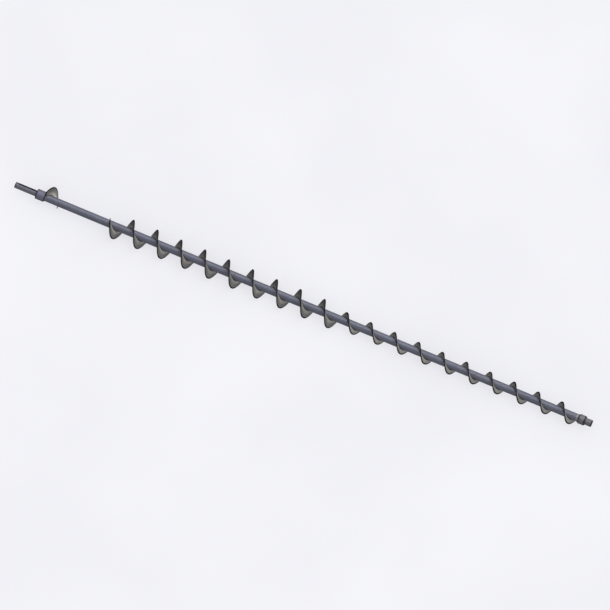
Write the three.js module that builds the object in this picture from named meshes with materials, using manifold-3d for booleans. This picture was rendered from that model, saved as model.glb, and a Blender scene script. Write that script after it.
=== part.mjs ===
// Horizontal screw auger for soil: a tube with a keyed drive shaft at one end
// and a plain stub shaft at the other, a short reverse-hand flight beside the
// drive collar, and a right-hand main flight that steps down in diameter
// half-way along. Millimetres, +Z up. The auger's axis is the X axis, X = 0 is
// the face of the drive shaft, and +X points along the auger to its far end.

import * as THREE from 'three';
import { mergeVertices } from 'three/addons/utils/BufferGeometryUtils.js';
import Module from 'manifold-3d';

// ---------------------------------------------------------------- dimensions

const GAP = 0.3;                 // running gap between neighbouring pieces

// Core tube
const TUBE_R = 15.0;
const TUBE_BORE_R = 11.0;
const TUBE_X0 = 100.0;
const TUBE_X1 = 2378.2;

// Drive shaft: keyed shank outside, spigot inside the tube
const SHANK_R = 12.0;
const SHANK_CHAMFER = 2.0;
const SPIGOT_R = TUBE_BORE_R - GAP;
const DRIVE_SPIGOT_END = 190.0;
const KEY_W = 8.0;
const KEY_DEPTH = 4.0;
const KEY_X0 = 10.0;
const KEY_X1 = 90.0;
const KEY_ANGLE = 50.5;          // from +Y towards +Z

// Drive collar, a sleeve over the tube's end with a wall round the shank
const COLLAR_R = 20.0;
const COLLAR_X0 = 90.0;
const COLLAR_X1 = 125.0;
const COLLAR_CHAMFER = 1.6;

// End collar and stub shaft
const END_COLLAR_R = 19.0;
const END_COLLAR_X0 = 2358.5;
const END_COLLAR_X1 = 2388.5;
const END_COLLAR_CHAMFER_IN = 3.5;
const END_COLLAR_CHAMFER_OUT = 4.5;
const END_COLLAR_CHAMFER_R = 2.5;
const STUB_R = 13.5;
const STUB_END = 2414.5;
const STUB_CHAMFER = 1.6;
const STUB_SPIGOT_START = 2303.5;

// Flights
const PITCH = 100.0;
const PLATE = 3.0;               // true plate thickness
const FLIGHT_R_LARGE = 50.0;
const FLIGHT_R_SMALL = 36.0;
const FLIGHT_R_IN = TUBE_R + GAP;
const SEGMENTS = 32;             // flats in one turn of a flight
const STEP = 360 / SEGMENTS;

// The main flight passes MAIN_ANGLE at MAIN_X, the reverse one at REVERSE_X
const MAIN_ANGLE = 15.5;
const MAIN_X = 377.9;
const REVERSE_X = 147.1;
const MAIN_START = 79.5;
const FIRST_JOINT = 270 + 1.5 * STEP;    // butt joints, one every turn
const LARGE_TURNS = 9;                   // whole turns after the first part turn
const SMALL_TURNS = 10;
const REVERSE_START = -101.9;
const REVERSE_END = 86.0;

const LATHE_SEGMENTS = 48;

// ----------------------------------------------------------------- materials

const steel = (color, roughness, metalness) =>
  new THREE.MeshStandardMaterial({ color, roughness, metalness });

const tubeSteel = steel(0x6c6e7b, 0.45, 0.6);
const shankSteel = steel(0x74747c, 0.35, 0.8);
const driveCollarSteel = steel(0x75748a, 0.4, 0.6);
const flightSteel = steel(0x77726e, 0.55, 0.5);
const endSteel = steel(0x858587, 0.38, 0.8);

// ------------------------------------------------------------------- helpers

const auger = new THREE.Group();
const deg = THREE.MathUtils.degToRad;

function add(name, geometry, material) {
  const mesh = new THREE.Mesh(geometry, material);
  mesh.name = name;
  auger.add(mesh);
  return mesh;
}

// Turns a profile of [x, r] pairs about the X axis.
function turned(profile) {
  const points = profile.map(([x, r]) => new THREE.Vector2(r, x));
  return new THREE.LatheGeometry(points, LATHE_SEGMENTS).rotateZ(-Math.PI / 2);
}

const wasm = await Module();
wasm.setup();

function toManifold(geometry) {
  let g = geometry.clone();
  for (const key of Object.keys(g.attributes)) if (key !== 'position') g.deleteAttribute(key);
  g = mergeVertices(g, 1e-4);
  return new wasm.Manifold(new wasm.Mesh({
    numProp: 3,
    vertProperties: new Float32Array(g.attributes.position.array),
    triVerts: new Uint32Array(g.index.array),
  }));
}

function fromManifold(solid) {
  const mesh = solid.getMesh();
  const g = new THREE.BufferGeometry();
  g.setAttribute('position', new THREE.BufferAttribute(new Float32Array(mesh.vertProperties), 3));
  g.setIndex(new THREE.BufferAttribute(new Uint32Array(mesh.triVerts), 1));
  g.computeVertexNormals();
  return g;
}

// Angles from one end of a flight to the other, with the flats kept at the
// same places in every turn.
function flightAngles(from, to) {
  const list = [from];
  let k = Math.ceil((from - FIRST_JOINT) / STEP + 1e-6);
  for (; FIRST_JOINT + k * STEP < to - 1e-6; k++) {
    const a = FIRST_JOINT + k * STEP;
    if (a - list[list.length - 1] > 0.25 * STEP) list.push(a);
  }
  list.push(to);
  return list;
}

// One flight section: a flat strip of plate bent into a helicoid. hand is +1
// for right-hand, -1 for left-hand; x0 is where the flight passes angle0.
function flight(from, to, outerR, hand, x0, angle0, gapFrom, gapTo) {
  const angles = flightAngles(from, to);
  const n = angles.length - 1;
  const g = new THREE.BoxGeometry(1, 1, 1, 1, 1, n);
  const p = g.attributes.position;
  const rimR = outerR / Math.cos(deg(STEP / 2));
  for (let i = 0; i < p.count; i++) {
    const side = p.getX(i) * 2;
    const r = p.getY(i) > 0 ? rimR : FLIGHT_R_IN;
    const k = Math.round((p.getZ(i) + 0.5) * n);
    let a = angles[k];
    if (k === 0) a += THREE.MathUtils.radToDeg(gapFrom / 2 / r);
    if (k === n) a -= THREE.MathUtils.radToDeg(gapTo / 2 / r);
    const helix = Math.atan(PITCH / (2 * Math.PI * r));
    const x = x0 + hand * PITCH * (a - angle0) / 360 + side * PLATE / 2 / Math.cos(helix);
    p.setXYZ(i, x, r * Math.cos(deg(a)), r * Math.sin(deg(a)));
  }
  g.computeVertexNormals();
  return g;
}

// -------------------------------------------------------------------- pieces

add('core_tube', turned([
  [TUBE_X0, TUBE_BORE_R], [TUBE_X0, TUBE_R], [TUBE_X1, TUBE_R],
  [TUBE_X1, TUBE_BORE_R], [TUBE_X0, TUBE_BORE_R],
]), tubeSteel);

// Drive shaft with an end-milled keyway, round at both ends
const shaftBlank = turned([
  [0, 0], [0, SHANK_R - SHANK_CHAMFER], [SHANK_CHAMFER, SHANK_R],
  [TUBE_X0 - GAP, SHANK_R], [TUBE_X0 - GAP, SPIGOT_R],
  [DRIVE_SPIGOT_END - 1.5, SPIGOT_R], [DRIVE_SPIGOT_END, SPIGOT_R - 1.5], [DRIVE_SPIGOT_END, 0],
]);
const keyOutline = new THREE.Shape();
keyOutline.moveTo(KEY_X0 + KEY_W / 2, -KEY_W / 2);
keyOutline.lineTo(KEY_X1 - KEY_W / 2, -KEY_W / 2);
keyOutline.absarc(KEY_X1 - KEY_W / 2, 0, KEY_W / 2, -Math.PI / 2, Math.PI / 2, false);
keyOutline.lineTo(KEY_X0 + KEY_W / 2, KEY_W / 2);
keyOutline.absarc(KEY_X0 + KEY_W / 2, 0, KEY_W / 2, Math.PI / 2, Math.PI * 1.5, false);
const keyCutter = new THREE.ExtrudeGeometry(keyOutline, {
  depth: 10, bevelEnabled: false, curveSegments: 8,
}).translate(0, 0, SHANK_R - KEY_DEPTH).rotateX(deg(KEY_ANGLE - 90));
add('drive_shaft', fromManifold(toManifold(shaftBlank).subtract(toManifold(keyCutter))), shankSteel);

add('drive_collar', turned([
  [COLLAR_X0, SHANK_R + GAP], [COLLAR_X0, COLLAR_R - COLLAR_CHAMFER],
  [COLLAR_X0 + COLLAR_CHAMFER, COLLAR_R], [COLLAR_X1, COLLAR_R],
  [COLLAR_X1, TUBE_R + GAP], [TUBE_X0 - GAP, TUBE_R + GAP],
  [TUBE_X0 - GAP, SHANK_R + GAP], [COLLAR_X0, SHANK_R + GAP],
]), driveCollarSteel);

add('end_collar', turned([
  [END_COLLAR_X0, TUBE_R + GAP], [END_COLLAR_X0, END_COLLAR_R - END_COLLAR_CHAMFER_R],
  [END_COLLAR_X0 + END_COLLAR_CHAMFER_IN, END_COLLAR_R],
  [END_COLLAR_X1 - END_COLLAR_CHAMFER_OUT, END_COLLAR_R],
  [END_COLLAR_X1, END_COLLAR_R - END_COLLAR_CHAMFER_R], [END_COLLAR_X1, STUB_R + GAP],
  [TUBE_X1 + GAP, STUB_R + GAP], [TUBE_X1 + GAP, TUBE_R + GAP], [END_COLLAR_X0, TUBE_R + GAP],
]), endSteel);

add('end_shaft', turned([
  [STUB_SPIGOT_START, 0], [STUB_SPIGOT_START, SPIGOT_R - 1.5],
  [STUB_SPIGOT_START + 1.5, SPIGOT_R], [TUBE_X1 + GAP, SPIGOT_R],
  [TUBE_X1 + GAP, STUB_R], [STUB_END - STUB_CHAMFER, STUB_R],
  [STUB_END, STUB_R - STUB_CHAMFER], [STUB_END, 0],
]), endSteel);

add('reverse_flight',
  flight(REVERSE_START, REVERSE_END, FLIGHT_R_LARGE, -1, REVERSE_X, MAIN_ANGLE, 0, 0), flightSteel);

const two = (n) => String(n).padStart(2, '0');
add('large_flight_01',
  flight(MAIN_START, FIRST_JOINT, FLIGHT_R_LARGE, 1, MAIN_X, MAIN_ANGLE, 0, GAP), flightSteel);
for (let i = 0; i < LARGE_TURNS; i++) {
  const from = FIRST_JOINT + 360 * i;
  add('large_flight_' + two(i + 2),
    flight(from, from + 360, FLIGHT_R_LARGE, 1, MAIN_X, MAIN_ANGLE, GAP, GAP), flightSteel);
}
for (let i = 0; i < SMALL_TURNS; i++) {
  const from = FIRST_JOINT + 360 * (LARGE_TURNS + i);
  const last = i === SMALL_TURNS - 1;
  add('small_flight_' + two(i + 1),
    flight(from, from + 360, FLIGHT_R_SMALL, 1, MAIN_X, MAIN_ANGLE, GAP, last ? 0 : GAP), flightSteel);
}

export default auger;
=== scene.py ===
import math

import bmesh
import bpy
import numpy as np
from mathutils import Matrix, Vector
from mathutils.geometry import delaunay_2d_cdt


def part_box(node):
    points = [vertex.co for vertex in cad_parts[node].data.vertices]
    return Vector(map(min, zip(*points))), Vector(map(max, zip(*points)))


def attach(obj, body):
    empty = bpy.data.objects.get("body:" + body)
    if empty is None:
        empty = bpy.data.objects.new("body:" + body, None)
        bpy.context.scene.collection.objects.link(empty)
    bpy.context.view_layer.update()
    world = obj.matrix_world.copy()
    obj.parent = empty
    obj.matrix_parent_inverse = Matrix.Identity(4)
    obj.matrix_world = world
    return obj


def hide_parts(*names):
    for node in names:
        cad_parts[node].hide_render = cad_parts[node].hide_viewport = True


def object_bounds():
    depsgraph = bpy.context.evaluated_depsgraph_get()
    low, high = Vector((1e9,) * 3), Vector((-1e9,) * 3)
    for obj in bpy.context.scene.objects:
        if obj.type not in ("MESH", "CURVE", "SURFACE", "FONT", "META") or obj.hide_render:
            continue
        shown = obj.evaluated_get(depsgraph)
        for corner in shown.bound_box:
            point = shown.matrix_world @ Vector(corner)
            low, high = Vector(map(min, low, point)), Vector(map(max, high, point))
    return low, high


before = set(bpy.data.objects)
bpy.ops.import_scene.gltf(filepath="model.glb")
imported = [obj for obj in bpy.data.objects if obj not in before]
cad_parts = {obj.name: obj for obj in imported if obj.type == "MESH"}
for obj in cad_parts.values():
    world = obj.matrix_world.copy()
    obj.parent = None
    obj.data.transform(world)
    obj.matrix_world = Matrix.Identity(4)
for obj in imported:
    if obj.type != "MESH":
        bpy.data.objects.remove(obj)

CAD_LO, CAD_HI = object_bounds()

MM = 0.001
D2R = math.pi / 180

# ---------------------------------------------------------------- dimensions
# Metres. Radii and ends come from the frame; pitch and angles are the design's.

TUBE_LO, TUBE_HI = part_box("core_tube")
TUBE_R = TUBE_HI[2]
COL_LO, COL_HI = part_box("drive_collar")
COLLAR_R = COL_HI[2]
SH_LO, SH_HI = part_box("drive_shaft")
SHANK_R = 12.0 * MM
ECOL_LO, ECOL_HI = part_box("end_collar")
ECOL_R = ECOL_HI[2]
STUB_LO, STUB_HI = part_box("end_shaft")
STUB_R = STUB_HI[2]
R_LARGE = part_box("large_flight_05")[1][2]
R_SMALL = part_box("small_flight_05")[1][2]

PITCH = 100 * MM
PLATE = 3.0 * MM
STEP = 11.25
MAIN_X, REVERSE_X, PHASE = 377.9 * MM, 147.1 * MM, 15.5
MAIN_START = 79.5
FIRST_JOINT = 270 + 1.5 * STEP
REV_START, REV_END = -101.9, 86.0
KEY_ANGLE = 50.5
KEY_W, KEY_DEPTH, KEY_X0, KEY_X1 = 8 * MM, 4 * MM, 10 * MM, 90 * MM
BORE_R = 11 * MM


def rng(seed):
    return np.random.RandomState(seed)


# --------------------------------------------------------------------- nodes

class Tree:
    """A short way to write a node tree."""

    def __init__(self, name):
        self.mat = bpy.data.materials.new(name)
        self.mat.use_nodes = True
        self.t = self.mat.node_tree
        self.t.nodes.clear()
        self.out = self.t.nodes.new("ShaderNodeOutputMaterial")
        self.bsdf = self.t.nodes.new("ShaderNodeBsdfPrincipled")
        self.t.links.new(self.bsdf.outputs[0], self.out.inputs[0])
        self.coord = self.t.nodes.new("ShaderNodeTexCoord").outputs["Object"]
        sep = self.t.nodes.new("ShaderNodeSeparateXYZ")
        self.t.links.new(self.coord, sep.inputs[0])
        self.x, self.y, self.z = sep.outputs

    def put(self, socket, value):
        if isinstance(value, bpy.types.NodeSocket):
            self.t.links.new(value, socket)
        else:
            socket.default_value = value

    def math(self, op, a, b=0.0, c=None, clamp=False):
        n = self.t.nodes.new("ShaderNodeMath")
        n.operation = op
        n.use_clamp = clamp
        self.put(n.inputs[0], a)
        self.put(n.inputs[1], b)
        if c is not None:
            self.put(n.inputs[2], c)
        return n.outputs[0]

    def vec(self, x, y, z):
        n = self.t.nodes.new("ShaderNodeCombineXYZ")
        for s, v in zip(n.inputs, (x, y, z)):
            self.put(s, v)
        return n.outputs[0]

    def noise(self, vector, scale, detail=3.0, rough=0.55, distortion=0.0):
        n = self.t.nodes.new("ShaderNodeTexNoise")
        n.noise_dimensions = "3D"
        self.put(n.inputs["Vector"], vector)
        n.inputs["Scale"].default_value = scale
        n.inputs["Detail"].default_value = detail
        n.inputs["Roughness"].default_value = rough
        n.inputs["Distortion"].default_value = distortion
        return n.outputs["Fac"]

    def voronoi(self, vector, scale):
        n = self.t.nodes.new("ShaderNodeTexVoronoi")
        n.feature = "F1"
        self.put(n.inputs["Vector"], vector)
        n.inputs["Scale"].default_value = scale
        return n.outputs["Distance"]

    def ramp(self, fac, lo, hi, a=0.0, b=1.0, smooth=True):
        n = self.t.nodes.new("ShaderNodeMapRange")
        n.interpolation_type = "SMOOTHSTEP" if smooth else "LINEAR"
        n.clamp = True
        self.put(n.inputs["Value"], fac)
        for key, v in (("From Min", lo), ("From Max", hi), ("To Min", a), ("To Max", b)):
            n.inputs[key].default_value = v
        return n.outputs["Result"]

    def mix(self, fac, a, b, blend="MIX"):
        n = self.t.nodes.new("ShaderNodeMix")
        n.data_type = "RGBA"
        n.blend_type = blend
        self.put(n.inputs[0], fac)
        self.put(n.inputs[6], a if isinstance(a, bpy.types.NodeSocket) else (*a, 1.0))
        self.put(n.inputs[7], b if isinstance(b, bpy.types.NodeSocket) else (*b, 1.0))
        return n.outputs[2]

    def attribute(self, name):
        n = self.t.nodes.new("ShaderNodeAttribute")
        n.attribute_name = name
        return n.outputs["Fac"]

    def bump(self, height, distance, strength=1.0, normal=None):
        n = self.t.nodes.new("ShaderNodeBump")
        n.inputs["Strength"].default_value = strength
        n.inputs["Distance"].default_value = distance
        self.put(n.inputs["Height"], height)
        if normal is not None:
            self.put(n.inputs["Normal"], normal)
        return n.outputs["Normal"]

    def radial(self):
        """Radius from the auger's axis, and the unit direction away from it."""
        r = self.math("SQRT", self.math("ADD", self.math("MULTIPLY", self.y, self.y),
                                        self.math("MULTIPLY", self.z, self.z)))
        safe = self.math("MAXIMUM", r, 1e-5)
        return r, self.math("DIVIDE", self.y, safe), self.math("DIVIDE", self.z, safe)

    def helix(self, x0, hand):
        """Distance, in metres of axis, from the nearest turn of a flight."""
        psi = self.math("DIVIDE", self.math("ARCTAN2", self.z, self.y), 2 * math.pi)
        turns = self.math("DIVIDE", self.math("SUBTRACT", self.x, x0), PITCH)
        ph = self.math("SUBTRACT", turns, self.math("MULTIPLY",
                       self.math("SUBTRACT", psi, PHASE / 360), float(hand)))
        off = self.math("SUBTRACT", self.math("FRACT", self.math("ADD", ph, 0.5)), 0.5)
        return self.math("MULTIPLY", self.math("ABSOLUTE", off), PITCH)

    def finish(self, color, rough, normal, metallic):
        self.put(self.bsdf.inputs["Base Color"], color)
        self.put(self.bsdf.inputs["Roughness"], rough)
        if normal is not None:
            self.put(self.bsdf.inputs["Normal"], normal)
        self.bsdf.inputs["Metallic"].default_value = metallic
        if metallic > 0:
            self.bsdf.inputs["Specular Tint"].default_value = (0.30, 0.30, 0.32, 1.0)
        return self.mat


def scaled(c, k):
    return tuple(v * k for v in c)


# ----------------------------------------------------------------- materials

METAL = 0.55


def flight_steel():
    """Pressed plate: thin grey mill scale, concentric rubbing marks, dark cut rim, a painted highlight toward the
    root, heat tint at the root.
    """
    t = Tree("flight_plate_steel")
    base = (0.190, 0.186, 0.177)
    r, ny, nz = t.radial()
    cloud = t.noise(t.coord, 32, 5, 0.6)
    fine = t.noise(t.coord, 620, 4, 0.65)
    marks = t.noise(t.vec(t.math("MULTIPLY", r, 900), t.math("MULTIPLY", ny, 2.4),
                          t.math("ADD", t.math("MULTIPLY", nz, 2.4), t.math("MULTIPLY", t.x, 9))), 1.0, 3, 0.6)
    flakes = t.ramp(t.noise(t.coord, 150, 4, 0.7, 0.4), 0.56, 0.68)
    color = t.mix(t.ramp(cloud, 0.3, 0.7), scaled(base, 0.82), scaled(base, 1.16))
    color = t.mix(t.math("MULTIPLY", flakes, 0.45), color, scaled((0.15, 0.146, 0.15), 1.0))
    color = t.mix(t.math("MULTIPLY", t.ramp(marks, 0.5, 0.72), 0.35), color, scaled(base, 1.45))
    color = t.mix(t.math("MULTIPLY", t.ramp(marks, 0.5, 0.28), 0.30), color, scaled(base, 0.62))
    color = t.mix(t.math("MULTIPLY", t.ramp(fine, 0.35, 0.65), 0.22), color, scaled(base, 0.7))
    # painted highlight: the plate is made paler toward the root, where the light catches its faces; then heat tint
    # against the weld
    color = t.mix(1.0, color, t.vec(*[t.ramp(r, 0.017, 0.038, k, 0.88) for k in (2.15, 2.12, 2.03)]), "MULTIPLY")
    root = t.math("ADD", r, t.math("MULTIPLY", t.math("SUBTRACT", cloud, 0.5), 0.005))
    color = t.mix(t.ramp(root, 0.0200, 0.0270, 0.28, 0.0), color, (0.330, 0.300, 0.250))
    color = t.mix(t.ramp(root, 0.0177, 0.0188, 0.55, 0.0), color, (0.085, 0.075, 0.085))
    # cut rim: black oxide, rubbed through here and there
    rim = t.attribute("rim")
    worn = t.ramp(t.noise(t.coord, 95, 5, 0.7), 0.60, 0.70, 0.0, 0.40)
    color = t.mix(t.math("MULTIPLY", rim, t.math("SUBTRACT", 1.0, worn)), color, (0.010, 0.010, 0.012))
    rough = t.math("ADD", t.ramp(cloud, 0.25, 0.75, 0.44, 0.58), t.math("MULTIPLY", flakes, 0.10))
    rough = t.math("SUBTRACT", rough, t.math("MULTIPLY", t.ramp(marks, 0.5, 0.75), 0.12))
    rough = t.math("ADD", rough, t.math("MULTIPLY", rim, 0.34), clamp=True)
    n = t.bump(cloud, 0.0006, 0.35)
    n = t.bump(fine, 0.00012, 0.5, n)
    n = t.bump(marks, 0.00008, 0.5, n)
    n = t.bump(flakes, 0.00005, 0.6, n)
    return t.finish(color, rough, n, METAL)


def tube_steel():
    """Drawn tube: fine lengthwise streaks, faint die marks, tinted beside the welds."""
    t = Tree("drawn_tube_steel")
    base = (0.152, 0.156, 0.198)
    r, ny, nz = t.radial()
    streak = t.noise(t.vec(t.math("MULTIPLY", t.x, 5), t.math("MULTIPLY", ny, 26), t.math("MULTIPLY", nz, 26)), 1.0, 5, 0.7)
    hair = t.noise(t.vec(t.math("MULTIPLY", t.x, 30), t.math("MULTIPLY", ny, 150), t.math("MULTIPLY", nz, 150)), 1.0, 3, 0.6)
    cloud = t.noise(t.coord, 24, 4, 0.6)
    fine = t.noise(t.coord, 700, 3, 0.6)
    color = t.mix(t.ramp(cloud, 0.3, 0.7), scaled(base, 0.90), scaled(base, 1.10))
    color = t.mix(t.math("MULTIPLY", t.ramp(streak, 0.35, 0.65), 0.45), color, scaled(base, 1.28))
    color = t.mix(t.math("MULTIPLY", t.ramp(hair, 0.55, 0.40), 0.30), color, scaled(base, 0.72))
    spots = t.ramp(t.noise(t.coord, 210, 4, 0.75), 0.64, 0.72)
    color = t.mix(t.math("MULTIPLY", spots, 0.4), color, (0.085, 0.078, 0.08))
    main = t.math("MULTIPLY", t.ramp(t.x, 0.387, 0.395, 0, 1), t.ramp(t.x, 2.354, 2.358, 1, 0))
    back = t.math("MULTIPLY", t.ramp(t.x, 0.120, 0.128, 0, 1), t.ramp(t.x, 0.180, 0.186, 1, 0))
    wob = t.math("MULTIPLY", t.math("SUBTRACT", cloud, 0.5), 0.006)
    dm = t.math("ADD", t.helix(MAIN_X, 1), wob)
    db = t.math("ADD", t.helix(REVERSE_X, -1), wob)
    for d, mask in ((dm, main), (db, back)):
        color = t.mix(t.math("MULTIPLY", t.ramp(d, 0.0042, 0.0060, 0.22, 0.0), mask), color, (0.062, 0.060, 0.085))
        color = t.mix(t.math("MULTIPLY", t.ramp(d, 0.0058, 0.0090, 0.08, 0.0), mask), color, (0.16, 0.135, 0.105))
    # the last few millimetres, ground bright for the end collar's weld
    turn = t.noise(t.vec(t.math("MULTIPLY", t.x, 1600), t.math("MULTIPLY", ny, 1.2), t.math("MULTIPLY", nz, 1.2)), 1.0, 3, 0.6)
    bright = t.math("MULTIPLY", t.ramp(t.x, 2.3494, 2.3502, 0, 1), t.ramp(r, 0.0140, 0.0145, 0, 1))
    color = t.mix(bright, color, t.mix(t.ramp(turn, 0.35, 0.65), (0.215, 0.215, 0.219), (0.300, 0.300, 0.306)))
    rough = t.math("ADD", t.ramp(streak, 0.3, 0.7, 0.42, 0.54), t.math("MULTIPLY", spots, 0.15))
    n = t.bump(streak, 0.00020, 0.35)
    n = t.bump(hair, 0.00006, 0.5, n)
    n = t.bump(fine, 0.00005, 0.4, n)
    return t.finish(color, rough, n, METAL)


def turned_steel(name, base, rough0, wear=1.0):
    """Turned bar: fine tool rings, light handling marks, dull spots, and near-black marked corners that carry painted
    shade.
    """
    t = Tree(name)
    r, ny, nz = t.radial()
    ring = t.noise(t.vec(t.math("MULTIPLY", t.x, 1500), t.math("MULTIPLY", r, 1500),
                         t.math("MULTIPLY", ny, 0.8)), 1.0, 3, 0.6)
    band = t.noise(t.vec(t.math("MULTIPLY", t.x, 210), t.math("MULTIPLY", ny, 0.9), t.math("MULTIPLY", nz, 0.9)), 1.0, 3, 0.55)
    cloud = t.noise(t.coord, 60, 4, 0.6)
    fine = t.noise(t.coord, 900, 3, 0.6)
    scratch = t.noise(t.vec(t.math("MULTIPLY", t.x, 60), t.math("MULTIPLY", ny, 9), t.math("MULTIPLY", nz, 9)), 1.0, 6, 0.8, 1.2)
    color = t.mix(t.ramp(cloud, 0.3, 0.7), scaled(base, 0.88), scaled(base, 1.10))
    color = t.mix(t.math("MULTIPLY", t.ramp(ring, 0.40, 0.65), 0.40), color, scaled(base, 1.30))
    color = t.mix(t.math("MULTIPLY", t.ramp(band, 0.55, 0.35), 0.30), color, scaled(base, 0.75))
    color = t.mix(t.math("MULTIPLY", t.ramp(scratch, 0.66, 0.72), 0.35 * wear), color, scaled(base, 0.5))
    # the marked corners go almost black: a dark edge line at every marked corner, and painted shade on the end
    # collar's and stub's outer chamfers and in the keyway
    rim = t.attribute("rim")
    color = t.mix(rim, color, (0.012, 0.012, 0.014))
    rough = t.math("ADD", t.ramp(cloud, 0.3, 0.7, rough0 - 0.05, rough0 + 0.06),
                   t.math("MULTIPLY", t.ramp(scratch, 0.60, 0.72), 0.12))
    rough = t.math("ADD", rough, t.math("MULTIPLY", rim, 0.36), clamp=True)
    n = t.bump(ring, 0.00005, 0.6)
    n = t.bump(band, 0.00010, 0.3, n)
    n = t.bump(fine, 0.00003, 0.4, n)
    return t.finish(color, rough, n, METAL)


def weld_steel():
    """Weld metal as laid: dark oxide skin with straw and blue tints on the ripples."""
    t = Tree("weld_bead_steel")
    cloud = t.noise(t.coord, 90, 4, 0.6)
    fine = t.noise(t.coord, 1100, 4, 0.7)
    tint = t.noise(t.coord, 46, 3, 0.5, 0.8)
    color = t.mix(t.ramp(cloud, 0.3, 0.7), (0.040, 0.040, 0.045), (0.078, 0.076, 0.082))
    color = t.mix(t.ramp(tint, 0.56, 0.68, 0.0, 0.45), color, (0.075, 0.058, 0.040))
    color = t.mix(t.ramp(tint, 0.44, 0.34, 0.0, 0.45), color, (0.040, 0.044, 0.078))
    color = t.mix(t.ramp(fine, 0.55, 0.70, 0.0, 0.35), color, (0.014, 0.013, 0.013))
    # the beads across the plate joints are paler, and the one at the end collar is brushed clean
    r, ny, nz = t.radial()
    color = t.mix(t.ramp(r, 0.0190, 0.0215, 0.0, 0.62), color, (0.120, 0.114, 0.106))
    color = t.mix(t.ramp(t.x, 2.3505, 2.3525, 0.0, 0.85), color, (0.175, 0.175, 0.179))
    rough = t.ramp(cloud, 0.25, 0.75, 0.38, 0.60)
    n = t.bump(fine, 0.00010, 0.5)
    return t.finish(color, rough, n, METAL)


M_FLIGHT = flight_steel()
M_TUBE = tube_steel()
M_SHANK = turned_steel("turned_shank_steel", (0.160, 0.162, 0.194), 0.50)
M_COLLAR = turned_steel("turned_drive_collar_steel", (0.176, 0.172, 0.228), 0.50)
M_END = turned_steel("turned_end_steel", (0.160, 0.160, 0.164), 0.48)
M_WELD = weld_steel()

# ------------------------------------------------------------------- meshes


def make(name, verts, faces, material, rim=None, sharp=32, nodes=()):
    me = bpy.data.meshes.new(name)
    me.from_pydata([tuple(v) for v in verts], [], [tuple(f) for f in faces])
    me.validate()
    if rim is not None:
        a = me.attributes.new("rim", "FLOAT", "POINT")
        a.data.foreach_set("value", np.asarray(rim, dtype=np.float32))
    bm = bmesh.new()
    bm.from_mesh(me)
    bmesh.ops.remove_doubles(bm, verts=bm.verts, dist=1e-7)
    bmesh.ops.recalc_face_normals(bm, faces=bm.faces)
    bm.to_mesh(me)
    bm.free()
    me.polygons.foreach_set("use_smooth", [True] * len(me.polygons))
    me.set_sharp_from_angle(angle=sharp * D2R)
    me.materials.append(material)
    me.update()
    ob = bpy.data.objects.new(name, me)
    bpy.context.scene.collection.objects.link(ob)
    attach(ob, "root")
    if nodes:
        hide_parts(*nodes)
    return ob


def rounded(points, radii, seg=3, support=0.35 * MM):
    """Rounds the corners of an open [x, r] profile, with a holding point on each side of every corner."""
    out = [points[0]]
    for i in range(1, len(points) - 1):
        p, a, b = (np.array(points[k], float) for k in (i, i - 1, i + 1))
        rad = radii[i] if isinstance(radii, (list, tuple)) else radii
        u, v = (a - p), (b - p)
        lu, lv = np.linalg.norm(u), np.linalg.norm(v)
        u, v = u / lu, v / lv
        cosang = float(np.clip(np.dot(u, v), -1, 1))
        if rad <= 0 or cosang < -0.9999:
            out.append(tuple(p))
            continue
        half = math.acos(cosang) / 2
        cut = min(rad / math.tan(half), 0.42 * lu, 0.42 * lv)
        rr = cut * math.tan(half)
        centre = p + (u + v) / np.linalg.norm(u + v) * (rr / math.sin(half))
        s, e = p + u * cut, p + v * cut
        if lu > cut + 3 * support:
            out.append(tuple(s + u * support))
        a0 = math.atan2(*(s - centre)[::-1])
        a1 = math.atan2(*(e - centre)[::-1])
        d = (a1 - a0 + math.pi) % (2 * math.pi) - math.pi
        for k in range(seg + 1):
            an = a0 + d * k / seg
            out.append((centre[0] + rr * math.cos(an), centre[1] + rr * math.sin(an)))
        if lv > cut + 3 * support:
            out.append(tuple(e + v * support))
    out.append(points[-1])
    return out


def lathe(profile, n=96, closed=False, a0=0.0, rims=None):
    """Vertices and faces of a turned body; profile is [x, r] from axis to axis, or closed."""
    verts, faces, rows, rim = [], [], [], []
    ang = [a0 + 2 * math.pi * k / n for k in range(n)]
    for i, (x, r) in enumerate(profile):
        if r < 1e-9:
            rows.append([len(verts)] * n)
            verts.append((x, 0, 0))
            rim.append(0.0 if rims is None else rims[i])
        else:
            rows.append(list(range(len(verts), len(verts) + n)))
            verts += [(x, r * math.cos(a), r * math.sin(a)) for a in ang]
            rim += [0.0 if rims is None else rims[i]] * n
    pairs = list(zip(rows[:-1], rows[1:]))
    if closed:
        pairs.append((rows[-1], rows[0]))
    for A, B in pairs:
        for k in range(n):
            m = (k + 1) % n
            f = [A[k], A[m], B[m], B[k]]
            g = [v for j, v in enumerate(f) if v not in f[:j]]
            if len(g) > 2:
                faces.append(g)
    return verts, faces, rim


def corner_rims(profile, marks, closed=False):
    """Marks the profile round the given corners (x, radius, reach), with points added where each mark stops; the marks
    go near-black as dark edge lines and painted shade.
    """
    fade = 0.30 * MM

    def spare(p):
        """How far past this point the mark still runs; negative where there is none."""
        return max(reach - math.hypot(p[0] - mx, p[1] - mr) for mx, mr, reach in marks)

    pts, rims = [], []
    n = len(profile)
    for i, p in enumerate(profile):
        a = spare(p)
        pts.append(tuple(p))
        rims.append(1.0 if a > 0 else 0.0)
        if i + 1 == n and not closed:
            break
        q = profile[(i + 1) % n]
        b = spare(q)
        length = math.hypot(q[0] - p[0], q[1] - p[1])
        room = length - max(a, 0.0) - max(b, 0.0) - 2 * fade
        if room < 0.1 * MM:
            continue
        for d, m in ([(a, 1.0), (a + fade, 0.0)] if a > 0 else []) + ([(length - b - fade, 0.0), (length - b, 1.0)] if b > 0 else []):
            pts.append((p[0] + (q[0] - p[0]) * d / length, p[1] + (q[1] - p[1]) * d / length))
            rims.append(m)
    return pts, rims


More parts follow.
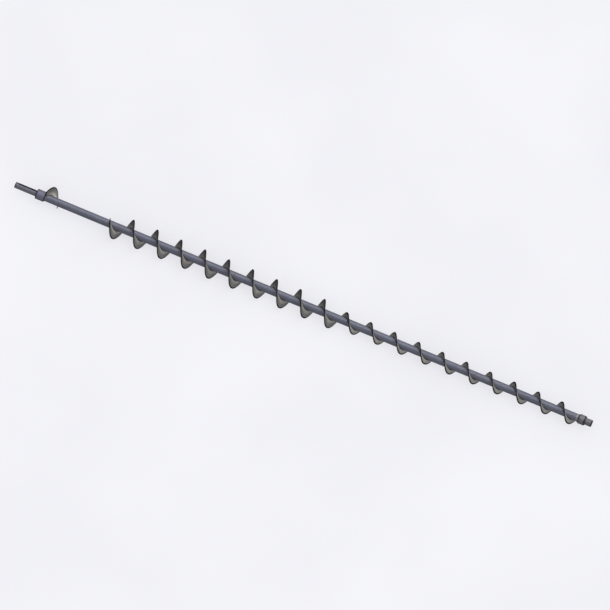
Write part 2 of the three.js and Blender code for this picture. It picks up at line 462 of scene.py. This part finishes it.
def angle_list(a, b, step):
    n = max(2, int(math.ceil((b - a) / step)))
    return [a + (b - a) * k / n for k in range(n + 1)]


def flight_x(psi, hand, x0):
    return x0 + hand * PITCH * (psi - PHASE) / 360


def half_axial(r, t=PLATE):
    """Half the plate's thickness measured along the axis."""
    return t / 2 / math.cos(math.atan(PITCH / (2 * math.pi * r)))


def plate(name, node, a, b, R, hand, x0, gap_a, gap_b, seed, free_a=False, free_b=False):
    """One pressed flight section: rounded rim, eased ends, and the slight unevenness of pressed plate."""
    g = rng(seed)
    edge = 0.45 * MM
    rin = TUBE_R + 0.3 * MM
    rads = [rin, rin + 1.2 * MM, 19.5 * MM]
    k = 4 if R > 40 * MM else 3
    rads += [19.5 * MM + (R - 5.6 * MM - 19.5 * MM) * j / (k + 1) for j in range(1, k + 2)]
    # (radius, side, pull-in) round the section, front face out to the rim and back
    prof = [(r, 1.0, 0.0, 0.0) for r in rads]
    prof += [(R - 4.2 * MM, 1.0, 0.0, 1.0), (R - 0.55 * MM, 1.0, 0.0, 1.0)]
    prof += [(R - 0.17 * MM, 1.0, 0.16 * MM, 1.0), (R, 1.0, 0.55 * MM, 1.0)]
    prof += [(R, 0.0, 0.0, 1.0)]
    prof += [(r, -s, c, m) for r, s, c, m in reversed(prof[:-1])]
    ph = g.uniform(0, 2 * math.pi, 4)
    am = g.uniform(0.4, 1.0, 4) * np.array([0.16, 0.10, 0.06, 0.03]) * MM
    fr = np.array([1.0, 2.0, 3.0, 7.0]) + g.uniform(-0.2, 0.2, 4)
    nick = g.uniform(0, 2 * math.pi, 3)
    ts = angle_list(a, b, 2.8125)
    # eased ends: the section is drawn in over the last half millimetre
    eases = [(0.0, 0.62), (0.28, 0.18), (0.75, 0.0)]
    rings = []
    for s, c in eases:
        rings.append((a, s * MM + gap_a / 2, c * MM, free_a))
    if free_a:
        rings += [(a + 3.6, 0.0, 0.0, True), (a + 4.4, 0.0, 0.0, False)]
    # the easing is an arc length, so near the root it takes up more of the angle than at the rim
    for t in ts[1:-1]:
        if t - a > 5.0 and b - t > 5.0:
            rings.append((t, 0.0, 0.0, False))
    if free_b:
        rings += [(b - 4.4, 0.0, 0.0, False), (b - 3.6, 0.0, 0.0, True)]
    for s, c in reversed(eases):
        rings.append((b, -s * MM - gap_b / 2, c * MM, free_b))
    verts, rim = [], []
    for t, shift, draw, cut in rings:
        for r, side, pull, mark in prof:
            rr = r
            if r > R - 0.3 * MM:
                q = sum(max(0.0, math.sin(t * D2R * f + p)) ** 24 for f, p in zip((3.3, 5.1, 7.7), nick))
                rr -= 0.16 * MM * min(1.0, q)
            rr -= draw * (1.0 if r > R - 1 * MM else 0.0)
            psi = t + math.degrees(shift / r)
            w = (r / R) ** 2
            wave = w * sum(A * math.sin(F * psi * D2R + P) for A, F, P in zip(am, fr, ph))
            thick = PLATE * (1.02 - 0.07 * (r - rin) / (R - rin))
            h = half_axial(r, thick) - pull - draw if side else 0.0
            x = flight_x(psi, hand, x0) + wave + (side * max(h, 0.2 * MM) if side else 0.0)
            verts.append((x, rr * math.cos(psi * D2R), rr * math.sin(psi * D2R)))
            rim.append(1.0 if cut else mark)
    n, m = len(rings), len(prof)
    faces = []
    for i in range(n - 1):
        for j in range(m):
            q = (j + 1) % m
            faces.append((i * m + j, i * m + q, (i + 1) * m + q, (i + 1) * m + j))
    for i in (0, n - 1):
        for j in range(m // 2):
            lo, hi = i * m + j, i * m + (m - 1 - j)
            if j + 1 == m - 2 - j:
                faces.append((lo, lo + 1, hi))
            elif j + 1 < m - 1 - j:
                faces.append((lo, lo + 1, hi - 1, hi))
    return make(name, verts, faces, M_FLIGHT, rim, 34, (node,))


def merge(parts):
    verts, faces = [], []
    for v, f in parts:
        o = len(verts)
        verts += list(v)
        faces += [tuple(i + o for i in q) for q in f]
    return verts, faces


def tube_faces(n, m, cap=True):
    faces = []
    for i in range(n - 1):
        for j in range(m):
            q = (j + 1) % m
            faces.append((i * m + j, i * m + q, (i + 1) * m + q, (i + 1) * m + j))
    if cap:
        faces.append(tuple(range(m)))
        faces.append(tuple((n - 1) * m + j for j in reversed(range(m))))
    return faces


def ripple(s, u, g_amp, period=2.7 * MM):
    """Scalloped weld ripple: s along the bead, u across it from 0 to 1."""
    ph = (s / period - 0.55 * (1 - (2 * u - 1) ** 2)) % 1.0
    return g_amp * (1 - (1 - ph) ** 2.2)


def root_bead(a, b, hand, x0, side, seed, open_a=False, open_b=False, leg_x=2.5 * MM, leg_r=2.2 * MM):
    """Fillet weld between a flight's face and the tube, rippled, from angle a to b."""
    g = rng(seed)
    per = math.hypot(2 * math.pi * 16.6 * MM, PITCH)
    step = 360 * 0.56 * MM / per
    if open_a:
        a -= 9.0
    if open_b:
        b += 9.0
    ts = angle_list(a, b, step)
    ph = g.uniform(0, 6.28, 5)
    us = [0.0, 0.16, 0.34, 0.5, 0.66, 0.84, 1.0]
    verts = []
    m = len(us) + 2
    last = len(ts) - 1
    for i, t in enumerate(ts):
        s = t / 360 * per
        big = 1 + 0.06 * math.sin(s / 0.031 + ph[0]) + 0.05 * math.sin(s / 0.0113 + ph[1]) + 0.03 * math.sin(s / 0.0047 + ph[2])
        end = 1.0
        past = 0.0
        if open_a and t < a + 16:
            end = min(end, max(0.0, (t - a) / 16))
            past = max(past, min(1.0, max(0.0, 1 - (t - a) / 9)))
        if open_b and t > b - 16:
            end = min(end, max(0.0, (b - t) / 16))
            past = max(past, min(1.0, max(0.0, 1 - (b - t) / 9)))
        fade = math.sqrt(max(0.0, min(1.0, end))) if end < 1 else 1.0
        wide = (0.35 + 0.65 * fade) * big
        lx, lr = leg_x * wide, leg_r * max(0.12, fade) * big
        hx = half_axial(TUBE_R + 1 * MM) * (1 - past)
        pts = []
        for u in us:
            # from the toe on the tube to the toe on the plate, a little convex
            px = lx * (1 - u)
            pr = lr * u
            bulge = 0.22 * math.sin(math.pi * u)
            nrm = math.hypot(lx, lr)
            px += bulge * lr * lr / nrm * 0.9
            pr += bulge * lx * lx / nrm * 0.45
            rp = ripple(s, u, 0.26 * MM * math.sin(math.pi * u) ** 0.6 * max(0.15, fade)) if 0 < u < 1 else 0.0
            px += rp * lr / nrm
            pr += rp * lx / nrm
            pts.append((px, pr))
        pts.append((-0.9 * MM, lr * 0.92))
        pts.append((-0.9 * MM, -0.5 * MM))
        pts[0] = (pts[0][0], -0.25 * MM)
        for px, pr in pts:
            r = TUBE_R + pr
            x = flight_x(t, hand, x0) + side * (hx + px)
            verts.append((x, r * math.cos(t * D2R), r * math.sin(t * D2R)))
    return verts, tube_faces(len(ts), m)


def butt_bead(psi, R, hand, x0, side, seed):
    """Weld across the joint between two flight sections, on one face."""
    g = rng(seed)
    r0, r1 = 18.4 * MM, R - 0.9 * MM
    n = int((r1 - r0) / (0.5 * MM))
    ph = g.uniform(0, 6.28, 3)
    cs = [-1.0, -0.72, -0.36, 0.0, 0.36, 0.72, 1.0]
    verts = []
    for i in range(n + 1):
        f = i / n
        r = r0 + (r1 - r0) * f
        end = min(1.0, f / 0.05, (1 - f) / 0.05)
        fade = math.sqrt(max(end, 0.0))
        w = (1.9 + 0.22 * math.sin(r / 0.0042 + ph[0]) + 0.12 * math.sin(r / 0.0017 + ph[1])) * MM * (0.4 + 0.6 * fade)
        top = (0.44 + 0.07 * math.sin(r / 0.0065 + ph[2])) * MM * fade
        for c in cs:
            h = top * (1 - c * c) ** 0.8 if abs(c) < 1 else -0.12 * MM
            if abs(c) < 1:
                h += ripple(r, (c + 1) / 2, 0.12 * MM * (1 - c * c) * fade, 2.3 * MM)
            a = psi + math.degrees(c * w / r)
            x = flight_x(a, hand, x0) + side * (half_axial(r) + h)
            verts.append((x, r * math.cos(a * D2R), r * math.sin(a * D2R)))
        for c in (1.0, -1.0):
            a = psi + math.degrees(c * w * 0.9 / r)
            x = flight_x(a, hand, x0) + side * (half_axial(r) - 0.9 * MM)
            verts.append((x, r * math.cos(a * D2R), r * math.sin(a * D2R)))
    return verts, tube_faces(n + 1, len(cs) + 2)


def ring_bead(x, r, dx, lx, lr, seed, n=280, period=2.6 * MM):
    """Fillet weld round the tube against a collar's face; dx is the side it lies on."""
    g = rng(seed)
    ph = g.uniform(0, 6.28, 3)
    us = [0.0, 0.2, 0.4, 0.6, 0.8, 1.0]
    m = len(us) + 2
    verts = []
    turns = round(2 * math.pi * r / period)
    for i in range(n):
        t = 2 * math.pi * i / n
        s = i / n * turns * period
        big = 1 + 0.05 * math.sin(3 * t + ph[0]) + 0.04 * math.sin(8 * t + ph[1]) + 0.02 * math.sin(17 * t + ph[2])
        a, b = lx * big, lr * big
        pts = []
        for u in us:
            px, pr = a * (1 - u), b * u
            bul = 0.2 * math.sin(math.pi * u)
            px += bul * b * 0.5
            pr += bul * a * 0.5
            rp = ripple(s, u, 0.22 * MM * math.sin(math.pi * u) ** 0.6, period) if 0 < u < 1 else 0.0
            pts.append((px + rp * 0.7, pr + rp * 0.7))
        pts[0] = (pts[0][0], -0.25 * MM)
        pts.append((-0.6 * MM, b * 0.9))
        pts.append((-0.6 * MM, -0.4 * MM))
        for px, pr in pts:
            verts.append((x + dx * px, (r + pr) * math.cos(t), (r + pr) * math.sin(t)))
    faces = []
    for i in range(n):
        k = (i + 1) % n
        for j in range(m):
            q = (j + 1) % m
            faces.append((i * m + j, i * m + q, k * m + q, k * m + j))
    return verts, faces


# --------------------------------------------------------------- core tube

tx0, tx1 = TUBE_LO[0], TUBE_HI[0]
e = 0.5 * MM
outer = [(tx0, BORE_R + e), (tx0, TUBE_R - e), (tx0 + e, TUBE_R)]
outer += [(tx0 + e + (tx1 - tx0 - 2 * e) * k / 91, TUBE_R) for k in range(1, 91)]
outer += [(tx1 - e, TUBE_R), (tx1, TUBE_R - e), (tx1, BORE_R + e), (tx1 - e, BORE_R)]
outer += [(tx1 - e + (tx0 - tx1 + 2 * e) * k / 24, BORE_R) for k in range(1, 24)]
outer += [(tx0 + e, BORE_R)]
v, f, rim = lathe(outer, 96, True)
make("core_tube_drawn", v, f, M_TUBE, rim, 34, ("core_tube",))

# --------------------------------------------------------------- drive shaft


def shaft_with_key(name, node, prof_before, prof_after, x0, x1, R, key, dark_at, material):
    """A turned shaft whose plain length x0..x1 carries an end-milled keyway with broken edges."""
    n = 96
    ka = KEY_ANGLE * D2R
    ang = [ka + math.pi + 2 * math.pi * k / n for k in range(n)]
    verts, faces, rim = [], [], []

    def ring(x, r, mark=0.0):
        if r < 1e-9:
            verts.append((x, 0, 0))
            rim.append(mark)
            return [len(verts) - 1] * n
        s = len(verts)
        verts.extend((x, r * math.cos(a), r * math.sin(a)) for a in ang)
        rim.extend([mark] * n)
        return list(range(s, s + n))

    def join(A, B):
        for k in range(n):
            m = (k + 1) % n
            q = [A[k], A[m], B[m], B[k]]
            g = [v for j, v in enumerate(q) if v not in q[:j]]
            if len(g) > 2:
                faces.append(g)

    prof_before, marks = corner_rims(prof_before, dark_at)
    rows = [ring(x, r, m) for (x, r), m in zip(prof_before, marks)]
    for A, B in zip(rows[:-1], rows[1:]):
        join(A, B)
    first = ring(x0, R)
    join(rows[-1], first)
    last = ring(x1, R)
    rows = [ring(x, r) for x, r in prof_after]
    join(last, rows[0])
    for A, B in zip(rows[:-1], rows[1:]):
        join(A, B)

    kx0, kx1, hw = key
    ease = 0.28 * MM
    border = ease + 1.25 * MM

    def loop(off, k=14):
        h = hw + off
        a, b = kx0 + hw, kx1 - hw
        pts = []
        steps = 34
        for j in range(steps):
            pts.append((a + (b - a) * j / steps, -h))
        for j in range(k):
            t = -math.pi / 2 + math.pi * j / k
            pts.append((b + h * math.cos(t), h * math.sin(t)))
        for j in range(steps):
            pts.append((b + (a - b) * j / steps, h))
        for j in range(k):
            t = math.pi / 2 + math.pi * j / k
            pts.append((a + h * math.cos(t), h * math.sin(t)))
        return pts

    def place(x, w, depth, floor=None):
        z = math.sqrt(R * R - w * w) - depth if floor is None else floor
        return (x, z * math.cos(ka) - w * math.sin(ka), z * math.sin(ka) + w * math.cos(ka))

    # the curved skin round the keyway, laid out flat and triangulated
    flat, ids, edges = [], [], []
    for k in range(n + 1):
        s = -math.pi * R + 2 * math.pi * R * k / n
        for x, row in ((x0, first), (x1, last)):
            flat.append(Vector((x, s)))
            ids.append(row[k % n])
    for k in range(n):
        edges += [(2 * k, 2 * k + 2), (2 * k + 1, 2 * k + 3)]
    edges += [(0, 1), (2 * n, 2 * n + 1)]
    surf = loop(border)
    base = len(flat)
    surf_ids = []
    for x, w in surf:
        flat.append(Vector((x, R * math.asin(w / R))))
        verts.append(place(x, w, 0.0))
        rim.append(0.0)
        surf_ids.append(len(verts) - 1)
        ids.append(len(verts) - 1)
    L = len(surf)
    edges += [(base + j, base + (j + 1) % L) for j in range(L)]
    nx = int((x1 - x0) / (3.2 * MM))

    def inside(x, w, grow):
        a, b = kx0 + hw, kx1 - hw
        cx = min(max(x, a), b)
        return math.hypot(x - cx, w) < hw + border + grow

    seam = {}
    for i in range(1, nx):
        x = x0 + (x1 - x0) * i / nx
        for k in range(n + 1):
            s = -math.pi * R + 2 * math.pi * R * k / n
            if inside(x, s, 0.35 * MM):
                continue
            if k == n:
                vid = seam[i]
            else:
                a = s / R + ka
                verts.append((x, R * math.cos(a), R * math.sin(a)))
                rim.append(0.0)
                vid = len(verts) - 1
                if k == 0:
                    seam[i] = vid
            flat.append(Vector((x, s)))
            ids.append(vid)
    out = delaunay_2d_cdt(flat, edges, [], 0, 1e-9)
    ov, of, orig = out[0], out[2], out[3]
    for tri in of:
        c = sum((ov[i] for i in tri), Vector((0, 0))) / 3
        if inside(c.x, c.y, -0.02 * MM):
            continue
        q = [ids[orig[i][0]] for i in tri]
        if len(set(q)) == 3:
            faces.append(q)
    # walls and floor of the keyway, marked to go near-black as painted shade
    rings = [surf_ids]
    for off, depth, floor, mark in ((ease + 0.85 * MM, None, None, 0.9), (ease, None, None, 0.95), (0.0, ease, None, 1.0), (0.0, None, R - KEY_DEPTH + 0.35 * MM, 1.0),
                                    (-0.12 * MM, None, R - KEY_DEPTH + 0.10 * MM, 1.0), (-0.4 * MM, None, R - KEY_DEPTH, 0.85)):
        row = []
        for x, w in loop(off):
            verts.append(place(x, w, depth or 0.0, floor))
            rim.append(mark)
            row.append(len(verts) - 1)
        rings.append(row)
    for A, B in zip(rings[:-1], rings[1:]):
        for j in range(L):
            k = (j + 1) % L
            faces.append((A[j], A[k], B[k], B[j]))
    # floor: quads across the slot, pairing its two straight sides
    F = rings[-1]
    i, j = 0, L - 1
    half = L // 2
    order_a = F[:half]
    order_b = [F[-1 - k] for k in range(half)]
    # the loop starts at the near straight side, so its mirror runs the other way round
    for k in range(half - 1):
        q = (order_a[k], order_a[k + 1], order_b[k + 1], order_b[k])
        faces.append(q)
    return make(name, verts, faces, material, rim, 34, (node,))


def centre_hole(x, sgn, r_face, r_hole, cone, depth):
    """Profile points of a centre-drilled hole, from the axis outwards to the face."""
    return [(x + sgn * (depth + 0.9 * MM), 0.0), (x + sgn * depth, r_hole),
            (x + sgn * cone, r_hole), (x + sgn * cone * 0.52, r_hole + (r_face - r_hole) * 0.48),
            (x + 0.12 * MM * sgn, r_face), (x, r_face + 0.3 * MM)]


sx0 = SH_LO[0]
before = centre_hole(sx0, 1, 3.0 * MM, 1.3 * MM, 3.0 * MM, 6.5 * MM)
before += rounded([(sx0, 5.0 * MM), (sx0, SHANK_R - 2.0 * MM), (sx0 + 2.0 * MM, SHANK_R), (sx0 + 5.0 * MM, SHANK_R)],
                  0.35 * MM)
kend = TUBE_LO[0] - 0.3 * MM
after = rounded([(95.5 * MM, SHANK_R), (kend, SHANK_R), (kend, 10.7 * MM), (SH_HI[0] - 1.5 * MM, 10.7 * MM),
                 (SH_HI[0], 9.2 * MM), (SH_HI[0], 4 * MM)], 0.3 * MM) + [(SH_HI[0], 0.0)]
shaft_with_key("drive_shaft_turned", "drive_shaft", before, after, 6.0 * MM, 94.5 * MM, SHANK_R,
               (KEY_X0, KEY_X1, KEY_W / 2), [(sx0, SHANK_R - 2.0 * MM, 1.0 * MM), (sx0 + 2.0 * MM, SHANK_R, 1.5 * MM)],
               M_SHANK)

# -------------------------------------------------------------- drive collar

cx0, cx1 = COL_LO[0], COL_HI[0]
wall = TUBE_LO[0] - 0.3 * MM
pc = rounded([(cx0 + 4 * MM, SHANK_R + 0.3 * MM), (cx0, SHANK_R + 0.3 * MM), (cx0, COLLAR_R - 1.6 * MM), (cx0 + 1.6 * MM, COLLAR_R),
              (cx1, COLLAR_R), (cx1, 15.3 * MM), (wall, 15.3 * MM), (wall, SHANK_R + 0.3 * MM), (cx0 + 4.2 * MM, SHANK_R + 0.3 * MM)],
             [0, 0.3 * MM, 0.4 * MM, 0.4 * MM, 0.5 * MM, 0.3 * MM, 0.2 * MM, 0.2 * MM, 0])
pc, rims = corner_rims(pc, [(cx0, COLLAR_R - 1.6 * MM, 1.6 * MM), (cx0 + 1.6 * MM, COLLAR_R, 1.7 * MM), (cx1, COLLAR_R, 1.1 * MM)], True)
v, f, rim = lathe(pc, 112, True, rims=rims)
make("drive_collar_turned", v, f, M_COLLAR, rim, 34, ("drive_collar",))

# ----------------------------------------------------- end collar and stub

ex0, ex1 = ECOL_LO[0], ECOL_HI[0]
ewall = TUBE_HI[0] + 0.3 * MM
pe = rounded([(ex0 + 9 * MM, 15.3 * MM), (ex0, 15.3 * MM), (ex0, ECOL_R - 2.5 * MM), (ex0 + 3.5 * MM, ECOL_R),
              (ex1 - 4.5 * MM, ECOL_R), (ex1, ECOL_R - 2.5 * MM), (ex1, STUB_R + 0.3 * MM),
              (ewall, STUB_R + 0.3 * MM), (ewall, 15.3 * MM), (ex0 + 9.2 * MM, 15.3 * MM)],
             [0, 0.3 * MM, 0.4 * MM, 0.9 * MM, 0.9 * MM, 0.5 * MM, 0.3 * MM, 0.2 * MM, 0.2 * MM, 0])
# these marks darken the end collar's outer chamfer and its step to the stub: painted shade, with a dark edge line at
# the corners
pe, rims = corner_rims(pe, [(ex0 + 3.5 * MM, ECOL_R, 0.8 * MM), (ex1 - 4.5 * MM, ECOL_R, 1.7 * MM), (ex1, ECOL_R - 2.5 * MM, 1.7 * MM)], True)
v, f, rim = lathe(pe, 112, True, rims=rims)
make("end_collar_turned", v, f, M_END, rim, 34, ("end_collar",))

bx0, bx1 = STUB_LO[0], STUB_HI[0]
ps = [(bx0, 0.0)] + rounded([(bx0, 4 * MM), (bx0, 9.2 * MM), (bx0 + 1.5 * MM, 10.7 * MM), (ewall, 10.7 * MM), (ewall, STUB_R),
                             (bx1 - 1.6 * MM, STUB_R), (bx1, STUB_R - 1.6 * MM), (bx1, 5.0 * MM)], 0.35 * MM)
ps += list(reversed(centre_hole(bx1, -1, 3.0 * MM, 1.3 * MM, 3.0 * MM, 6.5 * MM)))
# these marks darken the stub's end chamfer and a ring of its end face: painted shade
ps, rims = corner_rims(ps, [(bx1 - 1.6 * MM, STUB_R, 1.7 * MM), (bx1, STUB_R - 1.6 * MM, 2.0 * MM)])
v, f, rim = lathe(ps, 96, rims=rims)
make("end_shaft_turned", v, f, M_END, rim, 34, ("end_shaft",))

# -------------------------------------------------------------------- flights

GAP = 0.3 * MM
plate("reverse_flight_plate", "reverse_flight", REV_START, REV_END, R_LARGE, -1, REVERSE_X, 0, 0, 11, True, True)
joints = [FIRST_JOINT + 360 * i for i in range(20)]
plate("large_flight_plate_01", "large_flight_01", MAIN_START, joints[0], R_LARGE, 1, MAIN_X, 0, GAP, 21, True)
for i in range(9):
    plate("large_flight_plate_%02d" % (i + 2), "large_flight_%02d" % (i + 2), joints[i], joints[i + 1],
          R_LARGE, 1, MAIN_X, GAP, GAP, 22 + i)
for i in range(10):
    plate("small_flight_plate_%02d" % (i + 1), "small_flight_%02d" % (i + 1), joints[9 + i], joints[10 + i],
          R_SMALL, 1, MAIN_X, GAP, GAP if i < 9 else 0, 41 + i, False, i == 9)

# ---------------------------------------------------------------------- welds

beads = []
for side in (-1, 1):
    beads.append(root_bead(REV_START, REV_END, -1, REVERSE_X, side, 70 + side, open_a=True))
beads.append(ring_bead(cx1, TUBE_R, 1, 3.0 * MM, 2.6 * MM, 75))
v, f = merge(beads)
make("reverse_flight_welds", v, f, M_WELD, None, 50)

beads = [root_bead(MAIN_START, joints[9], 1, MAIN_X, s, 80 + s, open_a=True) for s in (-1, 1)]
for i in range(9):
    beads += [butt_bead(joints[i], R_LARGE, 1, MAIN_X, s, 100 + 2 * i + s) for s in (-1, 1)]
beads += [butt_bead(joints[9], R_SMALL, 1, MAIN_X, s, 130 + s) for s in (-1, 1)]
v, f = merge(beads)
make("large_flight_welds", v, f, M_WELD, None, 50)

beads = [root_bead(joints[9], joints[19], 1, MAIN_X, s, 90 + s, open_b=True) for s in (-1, 1)]
for i in range(10, 19):
    beads += [butt_bead(joints[i], R_SMALL, 1, MAIN_X, s, 140 + 2 * i + s) for s in (-1, 1)]
beads.append(ring_bead(ex0, TUBE_R, -1, 2.2 * MM, 1.3 * MM, 76))
v, f = merge(beads)
make("small_flight_welds", v, f, M_WELD, None, 50)

# ---------------------------------------------------------------------- stage

FLOOR_Z = CAD_LO[2]


def floor_material():
    t = Tree("studio_floor")
    cloud = t.noise(t.coord, 1.3, 3, 0.5)
    fine = t.noise(t.coord, 160, 3, 0.6)
    color = t.mix(t.ramp(cloud, 0.3, 0.7), (0.610, 0.610, 0.636), (0.635, 0.635, 0.661))
    return t.finish(color, t.ramp(fine, 0.3, 0.7, 0.75, 0.85), None, 0.0)


me = bpy.data.meshes.new("studio_floor")
S = 300.0
me.from_pydata([(-S, -S, FLOOR_Z), (S, -S, FLOOR_Z), (S, S, FLOOR_Z), (-S, S, FLOOR_Z)], [], [(0, 1, 2, 3)])
floor = bpy.data.objects.new("studio_floor", me)
me.materials.append(floor_material())
bpy.context.scene.collection.objects.link(floor)
floor.visible_diffuse = False
floor.visible_glossy = False

def studio_world(toward, low, high):
    """A soft dome with a slow change of brightness from one side to the other."""
    world = bpy.data.worlds.new("studio")
    bpy.context.scene.world = world
    world.use_nodes = True
    nt = world.node_tree
    bg = nt.nodes["Background"]
    co = nt.nodes.new("ShaderNodeTexCoord")
    dot = nt.nodes.new("ShaderNodeVectorMath")
    dot.operation = "DOT_PRODUCT"
    nt.links.new(co.outputs["Generated"], dot.inputs[0])
    dot.inputs[1].default_value = toward
    ramp = nt.nodes.new("ShaderNodeMapRange")
    ramp.interpolation_type = "SMOOTHSTEP"
    nt.links.new(dot.outputs["Value"], ramp.inputs["Value"])
    for key, v in (("From Min", -0.9), ("From Max", 0.9), ("To Min", low), ("To Max", high)):
        ramp.inputs[key].default_value = v
    nt.links.new(ramp.outputs["Result"], bg.inputs["Strength"])
    bg.inputs["Color"].default_value = (0.96, 0.965, 1.0, 1.0)


def from_view(a, u, f):
    """A direction from its parts along the axis, up the picture and toward the viewer."""
    return Vector((a, 0.9637 * u - 0.2671 * f, 0.2671 * u + 0.9637 * f)).normalized()


def sun(name, toward, strength, angle, shadow=True, color=(1, 1, 1)):
    d = bpy.data.lights.new(name, "SUN")
    d.energy = strength
    d.angle = angle * D2R
    d.color = color
    d.use_shadow = shadow
    o = bpy.data.objects.new(name, d)
    bpy.context.scene.collection.objects.link(o)
    o.rotation_mode = "QUATERNION"
    o.rotation_quaternion = Vector(toward).normalized().to_track_quat("Z", "Y")
    return o


studio_world(from_view(0.74, -0.66, 0.10), 0.27, 0.58)
key = sun("key", from_view(0.36, 0.64, 0.68), 0.95, 45)
fill = sun("fill", from_view(0.36, 0.68, 0.64), 1.65, 60, False)
sheen = sun("sheen", from_view(0.373, 0.921, 0.0), 0.62, 80, False)
sheen.visible_diffuse = False
rake = sun("rake", from_view(0.775, 0.50, -0.39), 0.7, 70, False)
wash = sun("floor_wash", (0, 0, 1), 3.2, 60, False)

# the shaping lights fall on the auger and the wash on the floor, so the floor keeps only a soft contact shade
on_auger = bpy.data.collections.new("lit_auger")
for ob in [o for o in bpy.context.scene.objects if o.type == "MESH" and o is not floor]:
    on_auger.objects.link(ob)
on_floor = bpy.data.collections.new("lit_floor")
on_floor.objects.link(floor)
key.light_linking.receiver_collection = on_auger
fill.light_linking.receiver_collection = on_auger
sheen.light_linking.receiver_collection = on_auger
rake.light_linking.receiver_collection = on_auger
wash.light_linking.receiver_collection = on_floor

# --------------------------------------------------------------------- camera

az, el = 23.42 * D2R, 73.2 * D2R
back = Vector((math.sin(az) * math.cos(el), -math.cos(az) * math.cos(el), math.sin(el)))
cam_data = bpy.data.cameras.new("camera")
cam_data.lens = 1200.0
cam_data.sensor_width = 36.0
cam = bpy.data.objects.new("camera", cam_data)
bpy.context.scene.collection.objects.link(cam)
cam.rotation_mode = "QUATERNION"
cam.rotation_quaternion = (-back).to_track_quat("-Z", "Y")
quat = (-back).to_track_quat("-Z", "Y")
right = quat @ Vector((1, 0, 0))
up = quat @ Vector((0, 1, 0))
FRAME_W = 2.34357
MID_PX = (303.064, 304.067)
dist = (FRAME_W / 2) / (18.0 / cam_data.lens)
k = FRAME_W / 610
middle = Vector(((CAD_LO[0] + CAD_HI[0]) / 2, 0, 0))
centre = middle - right * ((MID_PX[0] - 305) * k) + up * ((MID_PX[1] - 305) * k)
cam.location = centre + back * dist
cam_data.clip_start, cam_data.clip_end = 1.0, 400.0
bpy.context.scene.camera = cam
bpy.context.scene.view_settings.view_transform = "Standard"
